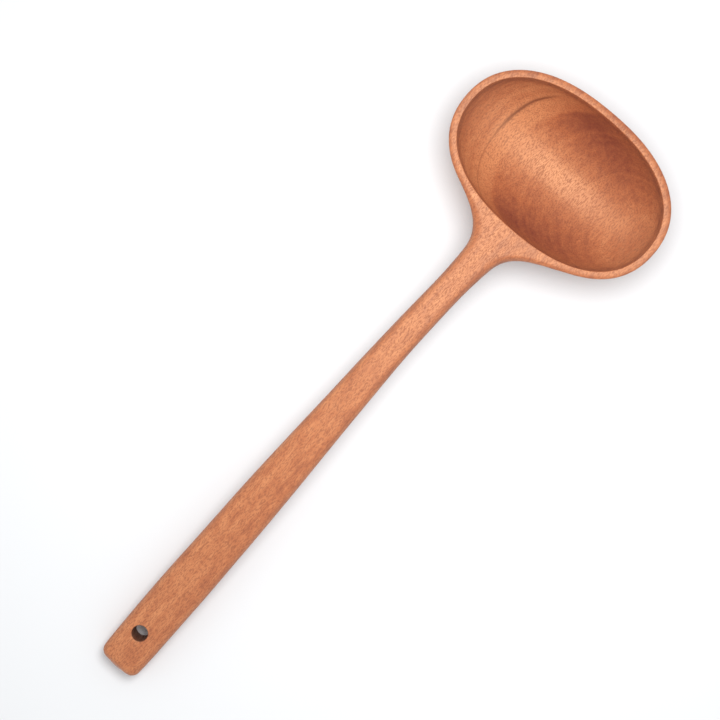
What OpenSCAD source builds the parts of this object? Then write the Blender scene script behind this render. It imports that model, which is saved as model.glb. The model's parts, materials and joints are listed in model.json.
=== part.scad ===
// Carved wooden ladle: a deep oval bowl set across a long tapering handle.
// The ladle lies on a level surface, on the underside of its bowl and the end
// of its handle. +X runs from the handle's end to the bowl, +Z is up.
// Shapes are drawn in a carving frame first: x = 0 at the handle's end and
// z = 0 in the plane of the rim. The functions named "laid" turn that frame
// down onto the surface.

/* [Bowl] */
// Outer length of the bowl, across the handle
bowl_length = 98.5; // [84:0.5:110]
// Outer width of the bowl, along the handle
bowl_width = 64.4; // [56:0.4:72]
// Depth of the hollow below the rim
hollow_depth = 31; // [26:1:34]
// Width of the rim around the hollow
rim_width = 3.3; // [2.8:0.1:5]
// Thickness of wood under the hollow
floor_thickness = 5; // [4:0.5:8]
// Radius of the rim's outer edge
rim_edge = 1.2; // [0.8:0.1:1.5]
// Squareness of the bowl's outline, where 2 is an ellipse
outline_power = 2.3; // [2:0.05:2.6]
// Turn of the bowl on the handle, in degrees
bowl_turn = 0.6; // [0:0.1:2]
// Depth of wood worn away by the small flat that the bowl stands on
foot_wear = 0.3; // [0.2:0.05:0.6]

/* [Neck] */
// Narrowest width, just behind the bowl
neck_width = 12.2; // [11:0.1:14]
// Thickness of the neck
neck_thickness = 13; // [12:0.5:15]
// Half of the angle that the neck's root covers on the bowl
root_angle = 45; // [37.5:7.5:52.5]
// Sideways bend of the line of the neck, in degrees
side_bend = 3.3; // [0:0.1:4]

/* [Handle] */
// Overall length of the carving, from the handle's end to the bowl's far rim
overall_length = 304; // [280:1:320]
// Widest part of the grip
grip_width = 19.7; // [17:0.1:21]
// Thickness of the handle at its end
end_thickness = 11.5; // [10:0.5:13]
// Rounding of the handle's end
end_rounding = 3.5; // [3:0.25:5]
// Height of the gentle arch in the handle
arch_height = 3; // [0:0.5:5]
// Diameter of the hanging hole
hole_diameter = 6.5; // [5:0.5:6.5]
// Distance of the hanging hole from the handle's end
hole_setback = 17.8; // [14:0.2:24]
// Sideways offset of the hanging hole from the middle of the handle
hole_offset = 1.2; // [0:0.1:1.4]

/* [Hidden] */

columns = 48;
inner_rows = 8;
outer_rows = 8;
root_rows = 3;
edge_rows = 2;
neck_rings = 8;
handle_rings = 18;
end_rings = 4;
hole_facets = 48;

wall_power = 0.92;
bowl_x = overall_length - bowl_width / 2;
outer_depth = hollow_depth + floor_thickness;

// Distances from the middle of the bowl back to places along the handle.
neck_distance = 49;
narrow_distance = 62;
bend_distance = 88;
neck_x = bowl_x - neck_distance;
narrow_x = bowl_x - narrow_distance;
bend_x = bowl_x - bend_distance;
bend_ease = 12;

grip_x = 30;
taper_power = 1.2;
end_draw = 1.1;
neck_flare = 1.5;

flat_share = 0.5;
top_roundness = 2.3;
under_roundness = 2;

// How strongly the neck's skin keeps its direction at the handle and at the bowl,
// and how its direction at the bowl turns from the middle of the root to its sides.
leaving_pull = 1.2;
arriving_pull = 1.3;
side_power = 0.8;
side_ease = 0.6;
side_dip = 0.4;

hole_margin = 0.8;
surface_depth = 20;

root_columns = round(root_angle * columns / 360);
root_depth_rows = edge_rows + root_rows;

// ---- the bowl ----

// Point of the bowl's outline at an angle from the handle's far side.
function outline(angle, a, b) =
    let (
        along = pow(abs(cos(angle)) / a, outline_power),
        across = pow(abs(sin(angle)) / b, outline_power),
        r = pow(along + across, -1 / outline_power)
    )
    r * [cos(angle + bowl_turn), sin(angle + bowl_turn)];

// Each row is a closed ring: [how far it lies inside the outline, scale, height].
function inner_row(k) =
    let (angle = 90 * (1 - k / inner_rows))
    [rim_width, pow(cos(angle), wall_power), -hollow_depth * pow(sin(angle), wall_power)];

function edge_row(k) =
    let (angle = 90 * k / edge_rows)
    [rim_edge * (1 - sin(angle)), 1, -rim_edge * (1 - cos(angle))];

function outer_row(k) =
    let (angle = 90 * k / outer_rows)
    [0, pow(cos(angle), wall_power), -rim_edge - (outer_depth - rim_edge) * pow(sin(angle), wall_power)];

function bowl_point(row, column) =
    let (
        angle = 180 + 360 * column / columns,
        p = row[1] * outline(angle, bowl_width / 2 - row[0], bowl_length / 2 - row[0])
    )
    [bowl_x + p[0], line_y(bowl_x) + p[1], row[2]];

inner_ring_list = [for (k = [1 : inner_rows]) inner_row(k)];
edge_ring_list = [for (k = [0 : edge_rows]) edge_row(k)];
outer_ring_list = [for (k = [1 : outer_rows - 1]) outer_row(k)];
bowl_rings = concat(inner_ring_list, edge_ring_list, outer_ring_list);
root_ring = inner_rows;

// ---- the line, width and thickness of the handle ----

function line_y(x) = -tan(side_bend) * bend_ease * ln(1 + exp((x - bend_x) / bend_ease));

function handle_width(x) =
    let (
        taper = pow(max(0, x - grip_x) / (narrow_x - grip_x), taper_power),
        swell = neck_width + (grip_width - neck_width) * (1 + cos(180 * min(1, taper))) / 2,
        drawn_in = end_draw * pow(max(0, grip_x - x) / grip_x, 2),
        flare = neck_flare * pow(max(0, x - narrow_x) / (neck_x - narrow_x), 2)
    )
    swell - drawn_in + flare;

function handle_thickness(x) = end_thickness + (neck_thickness - end_thickness) * x / neck_x;

function handle_top(x) = arch_height * (1 - cos(360 * x / neck_x)) / 2;

// ---- sections of the handle ----

// The points of a section go round the edge of a square, [side, height] from
// -1 to 1: along the top, down one side, back under, and up the other side.
square_points = concat(
    [for (k = [0 : 2 * root_columns - 1]) [k / root_columns - 1, 1]],
    [for (k = [0 : root_depth_rows - 1]) [1, 1 - 2 * k / root_depth_rows]],
    [for (k = [0 : 2 * root_columns - 1]) [1 - k / root_columns, -1]],
    [for (k = [0 : root_depth_rows - 1]) [-1, 2 * k / root_depth_rows - 1]]
);
section_count = len(square_points);

// A section is level across its middle and rounded towards both sides.
function rounded(q) =
    let (
        power = q[1] > 0 ? top_roundness : under_roundness,
        beyond = max(0, abs(q[0]) - flat_share) / (1 - flat_share),
        reach = pow(pow(beyond, power) + pow(abs(q[1]), power), 1 / power)
    )
    beyond == 0 ? q : [sign(q[0]) * (flat_share + (1 - flat_share) * beyond / reach), q[1] / reach];

function section_point(q, x, inset) =
    let (
        p = rounded(q),
        half_width = handle_width(x) / 2 - inset,
        half_thickness = handle_thickness(x) / 2 - inset,
        middle = handle_top(x) - handle_thickness(x) / 2
    )
    [x, line_y(x) + p[0] * half_width, middle + p[1] * half_thickness];

function end_ring(k) =
    let (
        angle = 90 * k / end_rings,
        x = end_rounding * (1 - cos(angle)),
        inset = end_rounding * (1 - sin(angle))
    )
    [for (q = square_points) section_point(q, x, inset)];

// One level band of the handle holds the whole of the hanging hole.
hole_band = hole_margin * hole_diameter;
rest_start = hole_setback + hole_band;
handle_stations = concat(
    [end_rounding, hole_setback - hole_band],
    [for (k = [0 : handle_rings]) rest_start + (neck_x - rest_start) * k / handle_rings]
);

// ---- the neck, from the last section of the handle to its root on the bowl ----

// Column and ring of the bowl that each point of the root sits on. Column 0
// faces the handle, and higher columns turn towards -Y.
root_places = concat(
    [for (k = [0 : 2 * root_columns - 1]) [root_columns - k, 0]],
    [for (k = [0 : root_depth_rows - 1]) [-root_columns, k]],
    [for (k = [0 : 2 * root_columns - 1]) [k - root_columns, root_depth_rows]],
    [for (k = [0 : root_depth_rows - 1]) [root_columns, root_depth_rows - k]]
);

function root_point(place) = bowl_point(bowl_rings[root_ring + place[1]], place[0]);

function unit(v) = v / norm(v);

// Direction in which the neck's skin runs into the bowl at a point of the root.
function root_direction(place) =
    let (
        side = place[0] / root_columns,
        depth = place[1] / root_depth_rows,
        here = root_point(place),
        around = unit(root_point([place[0] + (side < 0 ? -1 : 1), place[1]]) - here),
        below = unit(root_point([place[0], place[1] + 1]) - here),
        sideways = pow(abs(side), side_power),
        onward = place[1] == root_depth_rows ? 1 - side_ease * side * side : side_dip * depth * depth
    )
    place[1] == 0
        ? unit(sideways * around + (1 - sideways) * [1, 0, 0])
        : unit(sideways * around + onward * below);

function neck_point(k, ring) =
    let (
        t = ring / neck_rings,
        from = section_point(square_points[k], neck_x, 0),
        to = root_point(root_places[k]),
        start = [1, -tan(side_bend), 0] * norm(to - from) * leaving_pull,
        finish = root_direction(root_places[k]) * norm(to - from) * arriving_pull
    )
    from * (2 * t * t * t - 3 * t * t + 1)
        + start * (t * t * t - 2 * t * t + t)
        + to * (3 * t * t - 2 * t * t * t)
        + finish * (t * t * t - t * t);

function neck_ring(ring) =
    ring == neck_rings
        ? [for (place = root_places) root_point(place)]
        : [for (k = [0 : section_count - 1]) neck_point(k, ring)];

// ---- laying the ladle down ----

bowl_keel = [for (k = [0 : 45]) let (r = outer_row(outer_rows * (1 - k / 90))) bowl_point(r, 0)];
handle_keel = [for (k = [0 : end_rings]) for (p = end_ring(k)) p];

function lowest(points, tilt) = min([for (p = points) p[0] * sin(tilt) + p[2] * cos(tilt)]);

// Tilt at which the worn foot of the bowl and the end of the handle are level,
// found by halving the range from low to high.
function lying_tilt(low, high, steps) =
    let (middle = (low + high) / 2)
    steps == 0 ? middle
        : lowest(bowl_keel, middle) + foot_wear > lowest(handle_keel, middle)
            ? lying_tilt(low, middle, steps - 1)
            : lying_tilt(middle, high, steps - 1);

tilt = lying_tilt(0, 15, 30);

function tilted(p) = [p[0] * cos(tilt) - p[2] * sin(tilt), p[1], p[0] * sin(tilt) + p[2] * cos(tilt)];

far_side = [for (row = bowl_rings) tilted(bowl_point(row, columns / 2))[0]];
near_side = [for (p = handle_keel) tilted(p)[0]];
shift = [
    -(max(far_side) + min(near_side)) / 2,
    -line_y(bowl_x),
    -lowest(handle_keel, tilt)
];

function laid(p) = tilted(p) + shift;

// ---- solids ----

// Triangles that join two closed rings, given as lists of point numbers.
function band(first, second) =
    let (count = len(first))
    [for (k = [0 : count - 1]) each [
        [first[k], first[(k + 1) % count], second[(k + 1) % count]],
        [first[k], second[(k + 1) % count], second[k]]
    ]];

function bands(rings) = [for (k = [0 : len(rings) - 2]) each band(rings[k], rings[k + 1])];

// Triangles that close a ring onto one point.
function fan(ring, tip) = [for (k = [0 : len(ring) - 1]) [ring[k], ring[(k + 1) % len(ring)], tip]];

function backwards(list) = [for (k = [len(list) - 1 : -1 : 0]) list[k]];

// Numbers of the points in ring k, where each ring has count points.
function ring_numbers(k, count) = [for (i = [0 : count - 1]) k * count + i];

module bowl_solid() {
    ring_total = len(bowl_rings);
    rings = [for (k = [0 : ring_total - 1]) ring_numbers(k, columns)];
    inner_tip = ring_total * columns;
    outer_tip = inner_tip + 1;
    points = concat(
        [for (row = bowl_rings) for (c = [0 : columns - 1]) bowl_point(row, c)],
        [bowl_point(inner_row(0), 0), bowl_point(outer_row(outer_rows), 0)]
    );
    faces = concat(
        fan(backwards(rings[0]), inner_tip),
        bands(rings),
        fan(rings[ring_total - 1], outer_tip)
    );
    polyhedron(points = [for (p = points) laid(p)], faces = faces, convexity = 6);
}

module neck_solid() {
    n = root_columns;
    m = root_depth_rows;
    root_start = neck_rings * section_count;
    grid = [for (i = [-n : n]) for (j = [0 : m]) root_point([i, j])];
    root_edge = [for (place = root_places) root_start + (place[0] + n) * (m + 1) + place[1]];
    rings = [for (k = [0 : neck_rings - 1]) ring_numbers(k, section_count)];
    root_faces = [for (i = [0 : 2 * n - 1]) for (j = [0 : m - 1])
        let (a = root_start + i * (m + 1) + j, b = a + m + 1)
        each [[a, b + 1, b], [a, a + 1, b + 1]]];
    points = concat([for (k = [0 : neck_rings - 1]) each neck_ring(k)], grid);
    faces = concat([backwards(rings[0])], bands(concat(rings, [root_edge])), root_faces);
    polyhedron(points = [for (p = points) laid(p)], faces = faces, convexity = 6);
}

module handle_solid() {
    sections = concat(
        [for (k = [0 : end_rings - 1]) end_ring(k)],
        [for (x = handle_stations) [for (q = square_points) section_point(q, x, 0)]]
    );
    rings = [for (k = [0 : len(sections) - 1]) ring_numbers(k, section_count)];
    faces = concat([backwards(rings[0])], bands(rings), [rings[len(rings) - 1]]);
    polyhedron(points = [for (ring = sections) for (p = ring) laid(p)], faces = faces, convexity = 6);
}

module hanging_hole() {
    top = [hole_setback, line_y(hole_setback) + hole_offset, handle_top(hole_setback)];
    translate(laid(top)) rotate([0, -tilt, 0])
        cylinder(d = hole_diameter, h = 3 * end_thickness, center = true, $fn = hole_facets);
}

module below_surface() {
    side = 2 * overall_length;
    translate([-side / 2, -side / 2, -surface_depth]) cube([side, side, surface_depth]);
}

module bowl() {
    color([0.74, 0.47, 0.34]) difference() {
        bowl_solid();
        below_surface();
    }
}

module neck() {
    color([0.80, 0.53, 0.38]) neck_solid();
}

module handle() {
    color([0.78, 0.50, 0.36]) difference() {
        handle_solid();
        hanging_hole();
    }
}

bowl();
neck();
handle();
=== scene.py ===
"""A carved wooden ladle, oiled and hand finished, lying on a pale table.

Lengths in the carving rules are millimetres. The carving frame has x = 0 at the
handle's end and z = 0 in the plane of the rim. The carving tree then lays the
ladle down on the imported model's place, in metres.
"""

import json
import math

import bpy
import numpy as np
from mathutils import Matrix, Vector


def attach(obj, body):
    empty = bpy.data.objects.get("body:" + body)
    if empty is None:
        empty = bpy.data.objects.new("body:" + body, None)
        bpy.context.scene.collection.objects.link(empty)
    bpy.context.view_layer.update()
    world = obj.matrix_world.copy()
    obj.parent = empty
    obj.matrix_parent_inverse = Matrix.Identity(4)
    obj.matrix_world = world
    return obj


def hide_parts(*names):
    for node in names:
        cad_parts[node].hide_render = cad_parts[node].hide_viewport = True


MM = 0.001
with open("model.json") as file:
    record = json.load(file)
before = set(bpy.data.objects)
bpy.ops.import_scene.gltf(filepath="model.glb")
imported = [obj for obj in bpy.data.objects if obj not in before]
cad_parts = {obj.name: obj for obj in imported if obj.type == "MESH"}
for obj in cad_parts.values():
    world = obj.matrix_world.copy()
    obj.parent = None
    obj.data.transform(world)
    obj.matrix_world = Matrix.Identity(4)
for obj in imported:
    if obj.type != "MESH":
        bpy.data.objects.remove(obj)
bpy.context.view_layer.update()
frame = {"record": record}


def mount(name):
    """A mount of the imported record, by name."""
    return next(m for m in frame["record"]["mounts"] if m["name"] == name)


# ---- sums that work on plain numbers and on the numbers of a node tree alike ----


class Field:
    """A number that a node tree works out at each point."""

    def __init__(self, tree, socket):
        self.tree = tree
        self.socket = socket

    def made(self, operation, *others):
        node = self.tree.nodes.new("ShaderNodeMath")
        node.operation = operation
        for slot, value in zip(node.inputs, (self, *others)):
            if isinstance(value, Field):
                self.tree.links.new(value.socket, slot)
            else:
                slot.default_value = value
        return Field(self.tree, node.outputs[0])

    def swapped(self, operation, first):
        node = self.tree.nodes.new("ShaderNodeMath")
        node.operation = operation
        node.inputs[0].default_value = first
        self.tree.links.new(self.socket, node.inputs[1])
        return Field(self.tree, node.outputs[0])

    def __add__(self, other):
        return self.made("ADD", other)

    def __sub__(self, other):
        return self.made("SUBTRACT", other)

    def __mul__(self, other):
        return self.made("MULTIPLY", other)

    def __truediv__(self, other):
        return self.made("DIVIDE", other)

    def __pow__(self, other):
        return self.made("POWER", other)

    def __rsub__(self, other):
        return self.swapped("SUBTRACT", other)

    def __rtruediv__(self, other):
        return self.swapped("DIVIDE", other)

    def __neg__(self):
        return self * -1

    def __abs__(self):
        return self.made("ABSOLUTE")

    __radd__ = __add__
    __rmul__ = __mul__


def cos(v):
    return v.made("COSINE") if isinstance(v, Field) else math.cos(v)


def sin(v):
    return v.made("SINE") if isinstance(v, Field) else math.sin(v)


def exp(v):
    return v.made("EXPONENT") if isinstance(v, Field) else math.exp(v)


def log(v):
    return v.made("LOGARITHM", math.e) if isinstance(v, Field) else math.log(v)


def at_least(v, low):
    return v.made("MAXIMUM", low) if isinstance(v, Field) else max(v, low)


def at_most(v, high):
    return v.made("MINIMUM", high) if isinstance(v, Field) else min(v, high)


def sign(v):
    return v.made("SIGN") if isinstance(v, Field) else math.copysign(1, v) * (v != 0)


# ---- sizes of the carving ----

# Smoothing draws the narrow ends of the bowl in a little, so its length here is 0.6 larger.
SIZES = {
    "Overall Length": 304.0,
    "Bowl Length": 99.1,
    "Bowl Width": 64.4,
    "Bowl Turn": math.radians(0.6),
    "Hollow Depth": 31.0,
    "Floor Thickness": 5.0,
    "Rim Edge": 1.2,
    "Outline Power": 2.3,
    "Grip Width": 19.7,
    "Neck Width": 12.2,
    "Neck Thickness": 13.0,
    "End Thickness": 11.5,
    "Arch Height": 3.0,
    "Side Bend": math.tan(math.radians(3.3)),
    "Bend Ease": 12.0,
}

RIM_WIDTH = 3.3
INNER_EDGE = 0.6
INNER_EDGE_SHARE = 0.05
WALL_POWER = 0.92
END_ROUNDING = 3.5
END_BULGE = 0.9
GRIP_X = 30.0
TAPER_POWER = 1.2
END_DRAW = 1.1
NECK_FLARE = 1.5
# Distances from the middle of the bowl back to places along the handle.
NECK_DISTANCE = 49.0
NARROW_DISTANCE = 62.0
BEND_DISTANCE = 88.0
# How strongly the neck's skin keeps its direction at the handle and at the bowl,
# and how its direction at the bowl turns from the middle of the root to its sides.
LEAVING_PULL = 1.2
ARRIVING_PULL = 1.3
SIDE_POWER = 0.8
SIDE_EASE = 0.6
SIDE_DIP = 0.4
# The hole's place and broken edge, and the level block of the handle round it.
HOLE_X = 17.8
HOLE_OFFSET = 1.2
HOLE_EDGE = 0.5
HOLE_SURROUND = 1.2
HOLE_BLOCK = 12.4
BEFORE_HOLE = 8.5
AFTER_HOLE = 3.0
HOLE_RADIUS = mount("hanging_hole")["dims"]["r_mm"]
HAND_WOBBLE = 0.4
WOBBLE_LENGTH = 28.0
WOBBLE_SEED = 4.0

COLUMNS = 48
WALL_ROWS = 8
DRAWN_ROWS = 5
EDGE_ROWS = 2
ROOT_COLUMNS = 6
ROOT_ROWS = 5
NECK_RINGS = 9
HANDLE_RINGS = 18
END_RINGS = 4
HOLE_CELLS = 8
UPPER_CELL, LOWER_CELL = 2, 19
SMOOTHING = 2

# ---- carving rules: s holds the sizes, as plain numbers or as a tree's inputs ----


def bowl_x(s):
    return s["Overall Length"] - s["Bowl Width"] / 2


def neck_x(s):
    return bowl_x(s) - NECK_DISTANCE


def outline(s, angle, inset):
    """Point of an oval that is a little squarer than an ellipse."""
    a, b, power = s["Bowl Width"] / 2 - inset, s["Bowl Length"] / 2 - inset, s["Outline Power"]
    along = (abs(cos(angle)) / a) ** power
    across = (abs(sin(angle)) / b) ** power
    r = (along + across) ** (-1 / power)
    return r * cos(angle + s["Bowl Turn"]), r * sin(angle + s["Bowl Turn"])


def bowl_point(s, angle, scale, depth, inset, top, outside):
    """A point of the bowl. Depth runs from 0 at the rim to 1 at the bottom of its skin."""
    x, y = outline(s, angle, inset)
    hollow = s["Hollow Depth"]
    under = hollow + s["Floor Thickness"] - s["Rim Edge"]
    reach = outside * under + (1 - outside) * hollow
    return bowl_x(s) + scale * x, line_y(s, bowl_x(s)) + scale * y, top - depth * reach


def line_y(s, x):
    """Sideways place of the handle's middle, which bends gently near the neck."""
    ease = s["Bend Ease"]
    return -1 * s["Side Bend"] * ease * log(1 + exp((x - (bowl_x(s) - BEND_DISTANCE)) / ease))


def handle_width(s, x):
    narrow = bowl_x(s) - NARROW_DISTANCE
    taper = at_most((at_least(x - GRIP_X, 0) / (narrow - GRIP_X)) ** TAPER_POWER, 1)
    swell = s["Neck Width"] + (s["Grip Width"] - s["Neck Width"]) * (1 + cos(math.pi * taper)) / 2
    drawn_in = END_DRAW * (at_least(GRIP_X - x, 0) / GRIP_X) ** 2
    flare = NECK_FLARE * (at_least(x - narrow, 0) / (neck_x(s) - narrow)) ** 2
    return swell - drawn_in + flare


def handle_thickness(s, x):
    return s["End Thickness"] + (s["Neck Thickness"] - s["End Thickness"]) * x / neck_x(s)


def handle_top(s, x):
    return s["Arch Height"] * (1 - cos(2 * math.pi * x / neck_x(s))) / 2


TOP_FLAT, TOP_POWER = 0.5, 2.4
UNDER_FLAT, UNDER_POWER = 0.1, 2.1


def section_point(s, side, height, x, inset):
    """Point of the handle's section, from a point on the edge of a square."""
    upper = (sign(height) + 1) / 2
    flat = UNDER_FLAT + (TOP_FLAT - UNDER_FLAT) * upper
    power = UNDER_POWER + (TOP_POWER - UNDER_POWER) * upper
    beyond = at_least(abs(side) - flat, 0) / (1 - flat)
    reach = (beyond**power + abs(height) ** power) ** (1 / power)
    across = sign(side) * (at_most(abs(side), flat) + (1 - flat) * beyond / reach)
    middle = handle_top(s, x) - handle_thickness(s, x) / 2
    y = line_y(s, x) + across * (handle_width(s, x) / 2 - inset)
    return x, y, middle + height / reach * (handle_thickness(s, x) / 2 - inset)


def skin_z(x, y, upper):
    """Height of the handle's skin at a place in plan."""
    flat, power = (TOP_FLAT, TOP_POWER) if upper else (UNDER_FLAT, UNDER_POWER)
    half = handle_thickness(SIZES, x) / 2
    share = abs(y - line_y(SIZES, x)) / (handle_width(SIZES, x) / 2)
    rise = (1 - (max(0, share - flat) / (1 - flat)) ** power) ** (1 / power)
    return handle_top(SIZES, x) - half + (half * rise if upper else -half * rise)


def wall(share):
    """Scale and depth of the bowl's wall, for a share from 0 at the rim to 1 at the bottom."""
    angle = share * math.pi / 2
    return math.cos(angle) ** WALL_POWER, math.sin(angle) ** WALL_POWER


def wall_depth(scale):
    """Depth of the wall where the oval has shrunk to this scale."""
    return (1 - scale ** (2 / WALL_POWER)) ** (WALL_POWER / 2)


# ---- the blank: a coarse closed mesh that the carving tree shapes by those rules ----

REGIONS = ("bowl", "neck", "handle")
PLACED, SECTION, BOWL = range(3)


class Blank:
    """Points with the rule that places each, faces, and the region of each face."""

    def __init__(self):
        self.points = []
        self.rules = []
        self.extras = []
        self.faces = []
        self.regions = []

    def point(self, place, rule=PLACED, inset=0.0, top=0.0, outside=0.0):
        self.points.append(tuple(float(v) for v in place))
        self.rules.append(rule)
        self.extras.append((inset, top, outside))
        return len(self.points) - 1

    def face(self, corners, region):
        self.faces.append(tuple(corners))
        self.regions.append(REGIONS.index(region))

    def band(self, first, second, region, skip=()):
        """Joins two closed rings with four-sided faces, leaving out the columns in skip."""
        count = len(first)
        for k in range(count):
            if k not in skip:
                nxt = (k + 1) % count
                self.face((first[k], second[k], second[nxt], first[nxt]), region)

    def grid(self, rows, region):
        """Fills a rectangular net of point numbers with faces."""
        for a, b in zip(rows, rows[1:]):
            for k in range(len(a) - 1):
                self.face((a[k], a[k + 1], b[k + 1], b[k]), region)


def column_angle(column):
    """Column 0 of the bowl faces the handle."""
    return math.pi + 2 * math.pi * column / COLUMNS


def bowl_rows():
    """Rings of the bowl from the hollow over the rim to the underside, and the root's first.

    Each is (scale, depth, inset, top, outside). A net closes both walls past the drawn rows."""
    rows = [(*wall((DRAWN_ROWS - k) / WALL_ROWS), RIM_WIDTH, 0, 0) for k in range(DRAWN_ROWS)]
    rows.append((*wall(INNER_EDGE_SHARE), RIM_WIDTH, 0, 0))
    rows.append((1, 0, RIM_WIDTH, -INNER_EDGE, 0))
    rows.append((1, 0, RIM_WIDTH, 0, 0))
    rows.append((1, 0, RIM_WIDTH - INNER_EDGE, 0, 0))
    root_row = len(rows)
    edge = SIZES["Rim Edge"]
    for k in range(EDGE_ROWS + 1):
        angle = math.pi / 2 * k / EDGE_ROWS
        rows.append((1, 0, edge * (1 - math.sin(angle)), -edge * (1 - math.cos(angle)), 1))
    rows += [(*wall(k / WALL_ROWS), 0, -edge, 1) for k in range(1, DRAWN_ROWS + 1)]
    return rows, root_row


BOWL_ROWS, ROOT_ROW = bowl_rows()


def square_edge():
    """The points of a section on a square: top, one side, underneath, other side."""
    n, m = ROOT_COLUMNS, ROOT_ROWS
    top = [(k / n - 1, 1) for k in range(2 * n)]
    down = [(1, 1 - 2 * k / m) for k in range(m)]
    under = [(1 - k / n, -1) for k in range(2 * n)]
    up = [(-1, 2 * k / m - 1) for k in range(m)]
    return top + down + under + up


def root_places():
    """Column and row of the bowl's wall that each point of the neck's root sits on."""
    n, m = ROOT_COLUMNS, ROOT_ROWS
    top = [(n - k, 0) for k in range(2 * n)]
    down = [(-n, k) for k in range(m)]
    under = [(k - n, m) for k in range(2 * n)]
    up = [(n, m - k) for k in range(m)]
    return top + down + under + up


SQUARE = square_edge()
ROOT = root_places()


def bowl_ring(blank, row):
    """One closed ring of the bowl's skin."""
    scale, depth, inset, top, outside = row
    return [
        blank.point((column_angle(c), scale, depth), BOWL, inset, top, outside)
        for c in range(COLUMNS)
    ]


def bowl_cap(blank, ring, row):
    """Closes a ring of the bowl with a square net, so that no point has many faces."""
    scale, _, inset, top, outside = row
    side = COLUMNS // 4
    steps = [math.sqrt(2) * math.sin(math.pi / 2 * (k / side - 0.5)) for k in range(side + 1)]
    rows = []
    for i, u in enumerate(steps):
        numbers = []
        for j, v in enumerate(steps):
            x, y = u * math.sqrt(1 - v * v / 2), v * math.sqrt(1 - u * u / 2)
            angle, r = math.atan2(y, x), scale * min(1, math.hypot(x, y))
            if i in (0, side) or j in (0, side):
                numbers.append(ring[round((angle - math.pi) / (2 * math.pi) * COLUMNS) % COLUMNS])
            else:
                numbers.append(
                    blank.point((angle, r, wall_depth(r)), BOWL, inset, top, outside)
                )
        rows.append(numbers)
    blank.grid(rows if outside else rows[::-1], "bowl")


def make_bowl(blank):
    """The bowl, open in its outer wall where the neck grows out of it."""
    rings = [bowl_ring(blank, row) for row in BOWL_ROWS]
    opening = {c % COLUMNS for c in range(-ROOT_COLUMNS, ROOT_COLUMNS)}
    for k in range(len(rings) - 1):
        at_root = ROOT_ROW <= k < ROOT_ROW + ROOT_ROWS
        blank.band(rings[k], rings[k + 1], "bowl", opening if at_root else ())
    bowl_cap(blank, rings[0], BOWL_ROWS[0])
    bowl_cap(blank, rings[-1], BOWL_ROWS[-1])
    return [rings[ROOT_ROW + row][column % COLUMNS] for column, row in ROOT]


def unit(v):
    return v / np.linalg.norm(v)


def root_point(column, row):
    """Point of the bowl's outer wall that the neck's root meets."""
    scale, depth, inset, top, outside = BOWL_ROWS[ROOT_ROW + row]
    return np.array(bowl_point(SIZES, column_angle(column), scale, depth, inset, top, outside))


def root_direction(column, row):
    """Direction in which the neck's skin runs into the bowl at a point of its root."""
    side, depth = column / ROOT_COLUMNS, row / ROOT_ROWS
    here = root_point(column, row)
    around = unit(root_point(column + (1 if side >= 0 else -1), row) - here)
    sideways = abs(side) ** SIDE_POWER
    if row == 0:
        return unit(sideways * around + (1 - sideways) * np.array([1.0, 0, 0]))
    below = unit(root_point(column, row + 1) - here)
    onward = 1 - SIDE_EASE * side**2 if row == ROOT_ROWS else SIDE_DIP * depth**2
    return unit(sideways * around + onward * below)


def make_neck(blank, start_ring, root_ring):
    """Skin that flows from the handle's last section into the bowl's wall."""
    ends = []
    for (side, height), (column, row) in zip(SQUARE, ROOT):
        start = np.array(section_point(SIZES, side, height, neck_x(SIZES), 0))
        finish = root_point(column, row)
        reach = np.linalg.norm(finish - start)
        leaving = np.array([1, -SIZES["Side Bend"], 0]) * reach * LEAVING_PULL
        arriving = root_direction(column, row) * reach * ARRIVING_PULL
        ends.append((start, leaving, finish, arriving))
    ring = start_ring
    for k in range(1, NECK_RINGS):
        t = k / NECK_RINGS
        a, b = 2 * t**3 - 3 * t**2 + 1, t**3 - 2 * t**2 + t
        c, d = 3 * t**2 - 2 * t**3, t**3 - t**2
        nxt = [blank.point(a * s + b * ls + c * f + d * af) for s, ls, f, af in ends]
        blank.band(ring, nxt, "neck")
        ring = nxt
    blank.band(ring, root_ring, "neck")


def end_cap_point(side, height):
    """Point of the end face, which bulges slightly inside its rounded edge."""
    middle = handle_top(SIZES, 0) - handle_thickness(SIZES, 0) / 2
    reach = max(abs(side), abs(height))
    if reach == 0:
        return -END_BULGE, line_y(SIZES, 0), middle
    _, y, z = section_point(SIZES, side / reach, height / reach, 0, END_ROUNDING)
    y, z = y - line_y(SIZES, 0), z - middle
    bulge = END_BULGE * (1 - side**2) * (1 - height**4)
    return -bulge, line_y(SIZES, 0) + y * reach, middle + z * reach


def end_cap(blank, ring):
    """Closes the handle's end."""
    n, m = 2 * ROOT_COLUMNS, ROOT_ROWS
    rows = [ring[: n + 1]]
    for j in range(1, m):
        inner = [
            blank.point(end_cap_point(2 * i / n - 1, 1 - 2 * j / m)) for i in range(1, n)
        ]
        rows.append([ring[-j], *inner, ring[n + j]])
    rows.append([ring[2 * n + m - i] for i in range(n + 1)])
    blank.grid(rows, "handle")


def handle_stations():
    """Places of the handle's sections, and the number of the hole's first one."""
    near = [END_ROUNDING, HOLE_X - BEFORE_HOLE]
    cell = HOLE_BLOCK / HOLE_CELLS
    cells = [HOLE_X + (k - HOLE_CELLS / 2) * cell for k in range(HOLE_CELLS + 1)]
    start, end = cells[-1] + AFTER_HOLE, neck_x(SIZES)
    rest = [start + (end - start) * k / HANDLE_RINGS for k in range(HANDLE_RINGS + 1)]
    return near + cells + rest, len(near)


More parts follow.
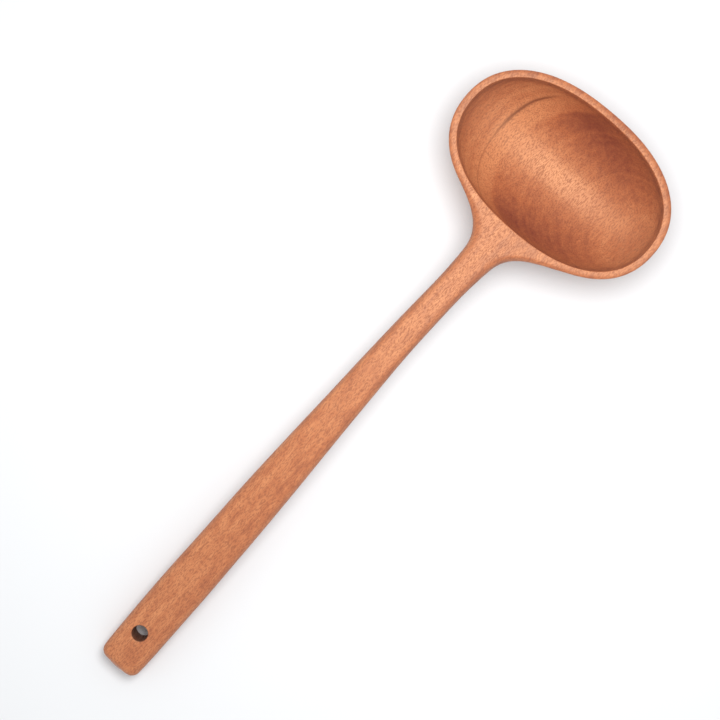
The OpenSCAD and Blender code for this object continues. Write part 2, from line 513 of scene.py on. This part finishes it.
def make_handle(blank):
    """The grip with its rounded end and hanging hole. Returns its last ring."""
    stations, first_cell = handle_stations()
    places = []
    for k in range(END_RINGS):
        angle = k / END_RINGS * math.pi / 2
        places.append((END_ROUNDING * (1 - math.cos(angle)), END_ROUNDING * (1 - math.sin(angle))))
    places += [(x, 0) for x in stations]
    rings = [
        [blank.point((x, side, height), SECTION, inset) for side, height in SQUARE]
        for x, inset in places
    ]
    first_cell += END_RINGS
    cells = range(first_cell, first_cell + HOLE_CELLS)
    upper = range(UPPER_CELL, UPPER_CELL + HOLE_CELLS)
    lower = range(LOWER_CELL, LOWER_CELL + HOLE_CELLS)
    for k in range(len(rings) - 1):
        blank.band(rings[k], rings[k + 1], "handle", {*upper, *lower} if k in cells else ())
    end_cap(blank, rings[0])
    make_hole(blank, rings, cells, upper, lower)
    return rings[-1]


def cell_border(rings, cells, columns):
    """Point numbers round the border of the block of cells that the hole replaces."""
    first, last = cells[0], cells[-1] + 1
    left, right = columns[0], columns[-1] + 1
    start = [rings[first][c] for c in range(left, right)]
    far = [rings[k][right] for k in range(first, last)]
    back = [rings[last][c] for c in range(right, left, -1)]
    near = [rings[k][left] for k in range(last, first, -1)]
    return start + far + back + near


def hole_ring(blank, radius, drop, upper):
    """A ring of the hole below the skin by drop, in the order of the cells' border."""
    y0 = line_y(SIZES, HOLE_X) + HOLE_OFFSET
    count = 4 * HOLE_CELLS
    first_corner = math.radians(135)
    turn = -1 if upper else 1
    numbers = []
    for k in range(count):
        angle = turn * (first_corner + 2 * math.pi * k / count)
        x = HOLE_X + radius * math.cos(angle)
        y = y0 + radius * math.sin(angle)
        z = skin_z(x, y, upper)
        numbers.append(blank.point((x, y, z - drop if upper else z + drop)))
    return numbers


def make_hole(blank, rings, cells, upper_columns, lower_columns):
    """The drilled hole, with softly broken edges."""
    sides = []
    for columns, upper in ((upper_columns, True), (lower_columns, False)):
        previous = cell_border(rings, cells, columns)
        for radius, drop in (
            (HOLE_RADIUS + HOLE_SURROUND, 0),
            (HOLE_RADIUS + HOLE_EDGE, 0),
            (HOLE_RADIUS + HOLE_EDGE * 0.3, HOLE_EDGE * 0.3),
            (HOLE_RADIUS, HOLE_EDGE),
        ):
            ring = hole_ring(blank, radius, drop, upper)
            blank.band(previous, ring, "handle")
            previous = ring
        sides.append(previous)
    top, bottom = sides
    bore = [blank.points[n] for n in bottom]
    below = []
    for number in top:
        x, y, _ = blank.points[number]
        gaps = [math.hypot(bx - x, by - y) for bx, by, _ in bore]
        below.append(bottom[gaps.index(min(gaps))])
    blank.band(top, below, "handle")


def make_blank():
    """The whole ladle's blank as an object, and the two seams between its regions."""
    blank = Blank()
    neck_start = make_handle(blank)
    root = make_bowl(blank)
    make_neck(blank, neck_start, root)
    mesh = bpy.data.meshes.new("ladle_blank")
    mesh.from_pydata(blank.points, [], blank.faces)
    mesh.attributes.new("region", "INT", "FACE").data.foreach_set("value", blank.regions)
    mesh.attributes.new("rule", "INT", "POINT").data.foreach_set("value", blank.rules)
    for name, values in zip(("inset", "top", "outside"), zip(*blank.extras)):
        mesh.attributes.new(name, "FLOAT", "POINT").data.foreach_set("value", values)
    ladle = bpy.data.objects.new("ladle_blank", mesh)
    bpy.context.scene.collection.objects.link(ladle)
    return ladle, (neck_start, root)


# ---- the carving tree ----


def add_input(tree, name, kind, default):
    """Adds a named input to a tree. Returns its identifier."""
    socket = tree.interface.new_socket(name, in_out="INPUT", socket_type=kind)
    if default is not None:
        socket.default_value = default
    return socket.identifier


def carving_tree():
    """Places the blank's points by the rules, lays the ladle down and smooths it."""
    tree = bpy.data.node_groups.new("carve_ladle", "GeometryNodeTree")
    tree.interface.new_socket("Blank", in_out="INPUT", socket_type="NodeSocketGeometry")
    inputs = {}
    for name, value in SIZES.items():
        inputs[name] = add_input(tree, name, "NodeSocketFloat", value)
    inputs["Tilt"] = add_input(tree, "Tilt", "NodeSocketRotation", None)
    inputs["Shift"] = add_input(tree, "Shift", "NodeSocketVector", None)
    inputs["Smoothing"] = add_input(tree, "Smoothing", "NodeSocketInt", 1)
    inputs["Hand Wobble"] = add_input(tree, "Hand Wobble", "NodeSocketFloat", 0.0)
    inputs["Wobble Length"] = add_input(tree, "Wobble Length", "NodeSocketFloat", 0.02)
    inputs["Seed"] = add_input(tree, "Seed", "NodeSocketFloat", 0.0)
    inputs["Wood"] = add_input(tree, "Wood", "NodeSocketMaterial", None)
    tree.interface.new_socket("Ladle", in_out="OUTPUT", socket_type="NodeSocketGeometry")
    new, link = tree.nodes.new, tree.links.new
    given = new("NodeGroupInput").outputs
    s = {name: Field(tree, given[name]) for name in SIZES}

    def read(name, kind="FLOAT"):
        node = new("GeometryNodeInputNamedAttribute")
        node.data_type = kind
        node.inputs["Name"].default_value = name
        return node.outputs["Attribute"]

    def shaped(geometry, rule, place):
        """Moves the points of one rule to their places."""
        same = new("FunctionNodeCompare")
        same.data_type = "INT"
        same.operation = "EQUAL"
        numbers = [i for i in same.inputs if i.type == "INT"]
        link(read("rule", "INT"), numbers[0])
        numbers[1].default_value = rule
        combine = new("ShaderNodeCombineXYZ")
        for part, slot in zip(place, combine.inputs):
            link(part.socket, slot)
        move = new("GeometryNodeSetPosition")
        link(geometry, move.inputs["Geometry"])
        link(same.outputs["Result"], move.inputs["Selection"])
        link(combine.outputs[0], move.inputs["Position"])
        return move.outputs["Geometry"]

    split = new("ShaderNodeSeparateXYZ")
    link(new("GeometryNodeInputPosition").outputs[0], split.inputs[0])
    p, q, r = (Field(tree, out) for out in split.outputs)
    inset, top, outside = (Field(tree, read(name)) for name in ("inset", "top", "outside"))
    handle = shaped(given["Blank"], SECTION, section_point(s, q, r, p, inset))
    bowl = shaped(handle, BOWL, bowl_point(s, p, q, r, inset, top, outside))

    lay = new("GeometryNodeTransform")
    link(bowl, lay.inputs["Geometry"])
    link(given["Shift"], lay.inputs["Translation"])
    link(given["Tilt"], lay.inputs["Rotation"])
    lay.inputs["Scale"].default_value = (MM, MM, MM)
    soft = new("GeometryNodeSubdivisionSurface")
    link(lay.outputs["Geometry"], soft.inputs["Mesh"])
    link(given["Smoothing"], soft.inputs["Level"])

    noise = new("ShaderNodeTexNoise")
    noise.noise_dimensions = "4D"
    noise.inputs["Detail"].default_value = 0.0
    link(given["Seed"], noise.inputs["W"])
    link((1 / Field(tree, given["Wobble Length"])).socket, noise.inputs["Scale"])
    depth = (Field(tree, noise.outputs[0]) - 0.5) * Field(tree, given["Hand Wobble"])
    along = new("ShaderNodeVectorMath")
    along.operation = "SCALE"
    link(new("GeometryNodeInputNormal").outputs[0], along.inputs[0])
    link(depth.socket, along.inputs["Scale"])
    hand = new("GeometryNodeSetPosition")
    link(soft.outputs["Mesh"], hand.inputs["Geometry"])
    link(along.outputs[0], hand.inputs["Offset"])

    low = new("ShaderNodeSeparateXYZ")
    link(new("GeometryNodeInputPosition").outputs[0], low.inputs[0])
    level = new("ShaderNodeCombineXYZ")
    link(low.outputs["X"], level.inputs["X"])
    link(low.outputs["Y"], level.inputs["Y"])
    link(at_least(Field(tree, low.outputs["Z"]), 0.0).socket, level.inputs["Z"])
    foot = new("GeometryNodeSetPosition")
    link(hand.outputs["Geometry"], foot.inputs["Geometry"])
    link(level.outputs[0], foot.inputs["Position"])

    smooth = new("GeometryNodeSetShadeSmooth")
    link(foot.outputs["Geometry"], smooth.inputs["Geometry"])
    whole = new("GeometryNodeRealizeInstances")
    link(smooth.outputs["Geometry"], whole.inputs["Geometry"])
    wood = new("GeometryNodeSetMaterial")
    link(whole.outputs["Geometry"], wood.inputs["Geometry"])
    link(given["Wood"], wood.inputs["Material"])
    link(wood.outputs["Geometry"], new("NodeGroupOutput").inputs[0])
    return tree, inputs


def laying():
    """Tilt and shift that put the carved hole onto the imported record's hole."""
    hole = mount("hanging_hole")
    axis = hole["axis"]
    tilt = math.atan2(-axis[0], axis[2])
    x, y = HOLE_X, line_y(SIZES, HOLE_X) + HOLE_OFFSET
    z = handle_top(SIZES, x) - handle_thickness(SIZES, x) / 2
    c, s = math.cos(tilt), math.sin(tilt)
    drilled = Vector((x * c - z * s, y, x * s + z * c)) * MM
    return tilt, Vector(hole["pos_m"]) - drilled


def carve(blank, wood):
    """The finished mesh that the carving tree makes of the blank."""
    tree, inputs = carving_tree()
    tilt, shift = laying()
    modifier = blank.modifiers.new("carving", "NODES")
    modifier.node_group = tree
    modifier[inputs["Tilt"]] = (0.0, -tilt, 0.0)
    modifier[inputs["Shift"]] = tuple(shift)
    modifier[inputs["Smoothing"]] = SMOOTHING
    modifier[inputs["Hand Wobble"]] = HAND_WOBBLE * MM
    modifier[inputs["Wobble Length"]] = WOBBLE_LENGTH * MM
    modifier[inputs["Seed"]] = WOBBLE_SEED
    modifier[inputs["Wood"]] = wood
    depsgraph = bpy.context.evaluated_depsgraph_get()
    mesh = bpy.data.meshes.new_from_object(blank.evaluated_get(depsgraph))
    blank.modifiers.clear()
    bpy.data.objects.remove(blank)
    return mesh


# ---- the three regions as separate closed pieces ----


def seam_loop(sides, corners, pair):
    """The seam between two regions as an ordered loop of points, corner by corner."""
    beside = {}
    for (a, b), found in sides.items():
        if found == pair:
            beside.setdefault(a, []).append(b)
            beside.setdefault(b, []).append(a)
    run = 2 * ROOT_COLUMNS * 2**SMOOTHING
    for second in beside[corners[0]]:
        loop = [corners[0], second]
        while loop[-1] != corners[0]:
            loop.append(next(n for n in beside[loop[-1]] if n != loop[-2]))
        if loop[run] == corners[1]:
            return loop[:-1]
    raise ValueError("a seam doesn't pass its corners")


def net(points, loop):
    """Fills a seam with a net that follows its four sides. Gives new points and faces."""
    n, m = 2 * ROOT_COLUMNS * 2**SMOOTHING, ROOT_ROWS * 2**SMOOTHING
    top, right = loop[: n + 1], loop[n : n + m + 1]
    bottom = loop[n + m : 2 * n + m + 1][::-1]
    left = (loop[2 * n + m :] + loop[:1])[::-1]
    t, r, b, l = (points[side] for side in (top, right, bottom, left))
    made, rows = [], [top]
    for j in range(1, m):
        v, row = j / m, [left[j]]
        for i in range(1, n):
            u = i / n
            across = (1 - u) * l[j] + u * r[j]
            along = (1 - v) * t[i] + v * b[i]
            upper = (1 - u) * t[0] + u * t[-1]
            lower = (1 - u) * b[0] + u * b[-1]
            row.append(len(points) + len(made))
            made.append(across + along - (1 - v) * upper - v * lower)
        rows.append([*row, right[j]])
    rows.append(bottom)
    faces = [
        (a[k], a[k + 1], c[k + 1], c[k])
        for a, c in zip(rows, rows[1:])
        for k in range(n)
    ]
    return made, faces


def piece_from(name, points, normals, skin, caps, wood):
    """An object from the skin's faces, which keep the whole ladle's shading, and its caps."""
    directed = {(f[k], f[(k + 1) % len(f)]) for f in skin for k in range(len(f))}
    faces = list(skin)
    for cap in caps:
        same_way = (cap[0][0], cap[0][1]) in directed
        faces += [f[::-1] if same_way else f for f in cap]
    used = sorted({n for f in faces for n in f})
    number = {n: k for k, n in enumerate(used)}
    mesh = bpy.data.meshes.new(name)
    mesh.from_pydata(points[used].tolist(), [], [[number[n] for n in f] for f in faces])
    mesh.polygons.foreach_set("use_smooth", [k < len(skin) for k in range(len(faces))])
    shading = [tuple(normals[n]) for f in skin for n in f]
    shading += [(0.0, 0.0, 0.0)] * (len(mesh.loops) - len(shading))
    mesh.normals_split_custom_set(shading)
    mesh.materials.append(wood)
    piece = bpy.data.objects.new(name, mesh)
    bpy.context.scene.collection.objects.link(piece)
    return piece


def split_ladle(mesh, seams, wood):
    """Parts the ladle into bowl, neck and handle along its two seams."""
    points = np.array([v.co for v in mesh.vertices])
    normals = np.array([v.normal for v in mesh.vertices])
    regions = [d.value for d in mesh.attributes["region"].data]
    faces = [tuple(f.vertices) for f in mesh.polygons]
    sides = {}
    for region, face in zip(regions, faces):
        for k in range(len(face)):
            edge = tuple(sorted((face[k], face[(k + 1) % len(face)])))
            sides.setdefault(edge, set()).add(region)
    corner_steps = (0, 2 * ROOT_COLUMNS)
    caps, pairs = [], ((1, 2), (0, 1))
    for ring, pair in zip(seams, pairs):
        corners = [ring[k] for k in corner_steps]
        made, cap = net(points, seam_loop(sides, corners, set(pair)))
        points = np.vstack([points, made])
        caps.append(cap)
    pieces = []
    for k, region in enumerate(REGIONS):
        skin = [f for f, r in zip(faces, regions) if r == k]
        own = [cap for cap, pair in zip(caps, pairs) if k in pair]
        pieces.append(piece_from(f"carved_{region}", points, normals, skin, own, wood))
    bpy.data.meshes.remove(mesh)
    return pieces


# ---- the wood ----


def noise(tree, vector, scale, detail, roughness=0.5):
    """Noise from 0 to 1, with its own scale along X, Y and Z."""
    stretch = tree.nodes.new("ShaderNodeMapping")
    stretch.inputs["Scale"].default_value = scale
    tree.links.new(vector, stretch.inputs["Vector"])
    node = tree.nodes.new("ShaderNodeTexNoise")
    node.inputs["Scale"].default_value = 1.0
    node.inputs["Detail"].default_value = detail
    node.inputs["Roughness"].default_value = roughness
    tree.links.new(stretch.outputs[0], node.inputs["Vector"])
    return Field(tree, node.outputs[0])


def bands(tree, layer, period, detail):
    """Noise from 0 to 1 that only changes from layer to layer."""
    node = tree.nodes.new("ShaderNodeTexNoise")
    node.noise_dimensions = "1D"
    node.inputs["Scale"].default_value = 1.0
    node.inputs["Detail"].default_value = detail
    tree.links.new((layer / period).socket, node.inputs["W"])
    return Field(tree, node.outputs[0])


def between(v, low, high):
    """Rises smoothly from 0 at low to 1 at high."""
    node = v.tree.nodes.new("ShaderNodeMapRange")
    node.interpolation_type = "SMOOTHSTEP"
    node.inputs["From Min"].default_value = low
    node.inputs["From Max"].default_value = high
    v.tree.links.new(v.socket, node.inputs["Value"])
    return Field(v.tree, node.outputs[0])


def ramp(v, stops):
    node = v.tree.nodes.new("ShaderNodeValToRGB")
    elements = node.color_ramp.elements
    while len(elements) < len(stops):
        elements.new(0.5)
    for element, (place, colour) in zip(elements, stops):
        element.position = place
        element.color = (*colour, 1.0)
    v.tree.links.new(v.socket, node.inputs[0])
    return node.outputs["Color"]


def tinted(tree, colour, amount, tint):
    """The colour turned towards a tint by an amount from 0 to 1."""
    node = tree.nodes.new("ShaderNodeMix")
    node.data_type = "RGBA"
    sockets = [i for i in node.inputs if i.type == "RGBA"]
    tree.links.new(amount.socket, node.inputs[0])
    tree.links.new(colour, sockets[0])
    sockets[1].default_value = (*tint, 1.0)
    return next(o for o in node.outputs if o.type == "RGBA")


# Lie of the wood's growth layers, as a direction across and up, and the one dark line's place.
LAYER_ACROSS = 0.77
LAYER_UP = 0.64
GROWTH_LINE = 8.6


def wood_material():
    """Reddish close-grained wood with its grain along the handle, with painted shade and a painted
    highlight in its colour.
    """
    material = bpy.data.materials.new("oiled_red_wood")
    material.use_nodes = True
    tree = material.node_tree
    skin = tree.nodes["Principled BSDF"]
    tilt, shift = laying()
    centre = Vector((bowl_x(SIZES), line_y(SIZES, bowl_x(SIZES)), 0.0))
    carving = tree.nodes.new("ShaderNodeMapping")
    turn = Vector((math.cos(tilt), 0.0, math.sin(tilt)))
    back = Vector((-math.sin(tilt), 0.0, math.cos(tilt)))
    placed = Vector((turn.dot(shift), shift.y, back.dot(shift))) / MM
    carving.inputs["Location"].default_value = -placed - centre
    carving.inputs["Rotation"].default_value = (0.0, tilt, 0.0)
    carving.inputs["Scale"].default_value = (1 / MM, 1 / MM, 1 / MM)
    tree.links.new(tree.nodes.new("ShaderNodeTexCoord").outputs["Object"], carving.inputs[0])
    place = carving.outputs[0]
    split = tree.nodes.new("ShaderNodeSeparateXYZ")
    tree.links.new(place, split.inputs[0])
    x, y, z = (Field(tree, out) for out in split.outputs)

    drift = noise(tree, place, (0.010, 0.03, 0.03), 1.0) - 0.5
    ripple = noise(tree, place, (0.03, 0.12, 0.12), 1.0) - 0.5
    sloping = y * LAYER_ACROSS + z * LAYER_UP + ripple * 1.5
    layer = x * 0.02 + sloping + drift * 8.0
    broad = bands(tree, layer, 11.0, 1.0) - 0.5
    seasons = bands(tree, layer, 3.2, 2.0) - 0.5
    fibre = noise(tree, place, (0.03, 0.9, 0.9), 2.0) - 0.5
    mottle = noise(tree, place, (0.15, 0.42, 0.42), 3.0) - 0.5
    pores = between(noise(tree, place, (0.75, 2.7, 2.7), 1.0), 0.46, 0.64)
    inside = between(z, -3.0, -10.0)
    # Painted shade: darker on the hollow's walls and on the ladle's lower parts, most about 17 mm
    # below the rim's plane.
    painted_wall_shade = exp(-(((y + 4.0) / 22.0) ** 2) - ((z + 17.0) / 9.0) ** 2)
    # Painted highlight: lighter along the middle of the hollow from end to end, and on the bowl's
    # +Y side below the rim.
    pale = exp(-(((x - 2.0) / 9.0) ** 2) - (y / 28.0) ** 2) + exp(-(((y - 25.0) / 13.0) ** 2))
    # Painted shade: a dark band about 5 mm below the rim's plane, on the walls under the rim and
    # along the handle's sides.
    side = exp(-(((z + 5.0) / 2.5) ** 2))
    layers = (broad + seasons * 0.7) * (0.25 + 0.35 * inside)
    figure = layers + fibre * 0.35 + mottle * (0.8 - inside * 0.4)
    # The small x term is painted light: lighter towards the handle's end, darker towards the bowl.
    tone = figure - painted_wall_shade * 0.34 - side * 0.16 + inside * pale * 0.36 - x * 0.0006 + 0.46
    colour = ramp(
        tone,
        (
            (0.00, (0.190, 0.048, 0.033)),
            (0.50, (0.445, 0.147, 0.063)),
            (0.90, (0.600, 0.238, 0.104)),
        ),
    )
    strength = 0.35 + 0.4 * between(x, -8.0, 8.0)
    line = exp(-(((sloping - GROWTH_LINE) / strength) ** 2))
    growth = line * inside * strength * between(x, 26.0, 20.0)
    colour = tinted(tree, colour, growth, (0.110, 0.030, 0.018))
    colour = tinted(tree, colour, pores * 0.48, (0.170, 0.050, 0.032))
    # Painted shade: the wall of the hanging hole is painted near black, as shade inside the hole.
    drilled_x = x - (HOLE_X - bowl_x(SIZES))
    drilled_y = y - (line_y(SIZES, HOLE_X) + HOLE_OFFSET - line_y(SIZES, bowl_x(SIZES)))
    off_axis = (drilled_x**2 + drilled_y**2) ** 0.5
    bore = between(off_axis, HOLE_RADIUS + HOLE_EDGE, HOLE_RADIUS + 0.1)
    colour = tinted(tree, colour, bore * 0.75, (0.070, 0.022, 0.016))
    tree.links.new(colour, skin.inputs["Base Color"])
    rough = pores * 0.15 + fibre * 0.12 + 0.42
    tree.links.new(rough.socket, skin.inputs["Roughness"])
    skin.inputs["IOR"].default_value = 1.5
    skin.inputs["Specular IOR Level"].default_value = 0.8
    skin.inputs["Specular Tint"].default_value = (1.0, 0.72, 0.48, 1.0)
    skin.inputs["Anisotropic"].default_value = 0.8
    skin.inputs["Anisotropic Rotation"].default_value = 0.25
    fibres = tree.nodes.new("ShaderNodeCombineXYZ")
    fibres.inputs["X"].default_value = math.cos(tilt)
    fibres.inputs["Z"].default_value = math.sin(tilt)
    tree.links.new(fibres.outputs[0], skin.inputs["Tangent"])
    bump = tree.nodes.new("ShaderNodeBump")
    bump.inputs["Strength"].default_value = 0.4
    bump.inputs["Distance"].default_value = 0.06 * MM
    tree.links.new((fibre * 0.6 - pores).socket, bump.inputs["Height"])
    tree.links.new(bump.outputs[0], skin.inputs["Normal"])
    return material


# ---- table, light and camera, in metres ----

VIEW_CENTRE = (0.0109, 0.0117)
VIEW_HEIGHT = 0.70
VIEW_LENS = 83.25
VIEW_TURN = math.radians(-49.0)
TABLE_HALF = 1.2
LAMP_ASIDE = 0.08
LAMP_HEIGHT = 0.44
LAMP_SIZE = 0.24
LAMP_POWER = 1.6
SKY_STRENGTH = 0.80


def make_table():
    """A plain pale table top."""
    half = TABLE_HALF
    mesh = bpy.data.meshes.new("table_top")
    corners = [(-half, -half, 0), (half, -half, 0), (half, half, 0), (-half, half, 0)]
    mesh.from_pydata(corners, [], [(0, 1, 2, 3)])
    table = bpy.data.objects.new("table_top", mesh)
    bpy.context.scene.collection.objects.link(table)
    material = bpy.data.materials.new("table_white")
    material.use_nodes = True
    skin = material.node_tree.nodes["Principled BSDF"]
    skin.inputs["Base Color"].default_value = (0.76, 0.77, 0.78, 1.0)
    skin.inputs["Roughness"].default_value = 0.9
    skin.inputs["Specular IOR Level"].default_value = 0.2
    mesh.materials.append(material)


def make_lights():
    """A round softbox above the table and soft white light from all round."""
    light = bpy.data.lights.new("softbox", "AREA")
    light.shape = "DISK"
    light.size = LAMP_SIZE
    light.energy = LAMP_POWER
    lamp = bpy.data.objects.new("softbox", light)
    lamp.location = (VIEW_CENTRE[0] + LAMP_ASIDE, VIEW_CENTRE[1], LAMP_HEIGHT)
    lamp.visible_camera = False
    bpy.context.scene.collection.objects.link(lamp)
    world = bpy.data.worlds.new("studio")
    world.use_nodes = True
    background = world.node_tree.nodes["Background"]
    background.inputs["Color"].default_value = (0.985, 0.99, 1.0, 1.0)
    background.inputs["Strength"].default_value = SKY_STRENGTH
    bpy.context.scene.world = world


def make_camera():
    """Looks straight down, with the handle running to the lower left."""
    camera = bpy.data.cameras.new("camera")
    camera.sensor_width = 36.0
    camera.lens = VIEW_LENS
    view = bpy.data.objects.new("camera", camera)
    view.location = (*VIEW_CENTRE, VIEW_HEIGHT)
    view.rotation_euler = (0.0, 0.0, VIEW_TURN)
    bpy.context.scene.collection.objects.link(view)
    bpy.context.scene.camera = view


def main():
    wood = wood_material()
    blank, seams = make_blank()
    pieces = split_ladle(carve(blank, wood), seams, wood)
    for piece, node in zip(pieces, REGIONS):
        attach(piece, "root")
        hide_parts(node)
    make_table()
    make_lights()
    make_camera()
    bpy.context.scene.view_settings.view_transform = "Standard"


main()
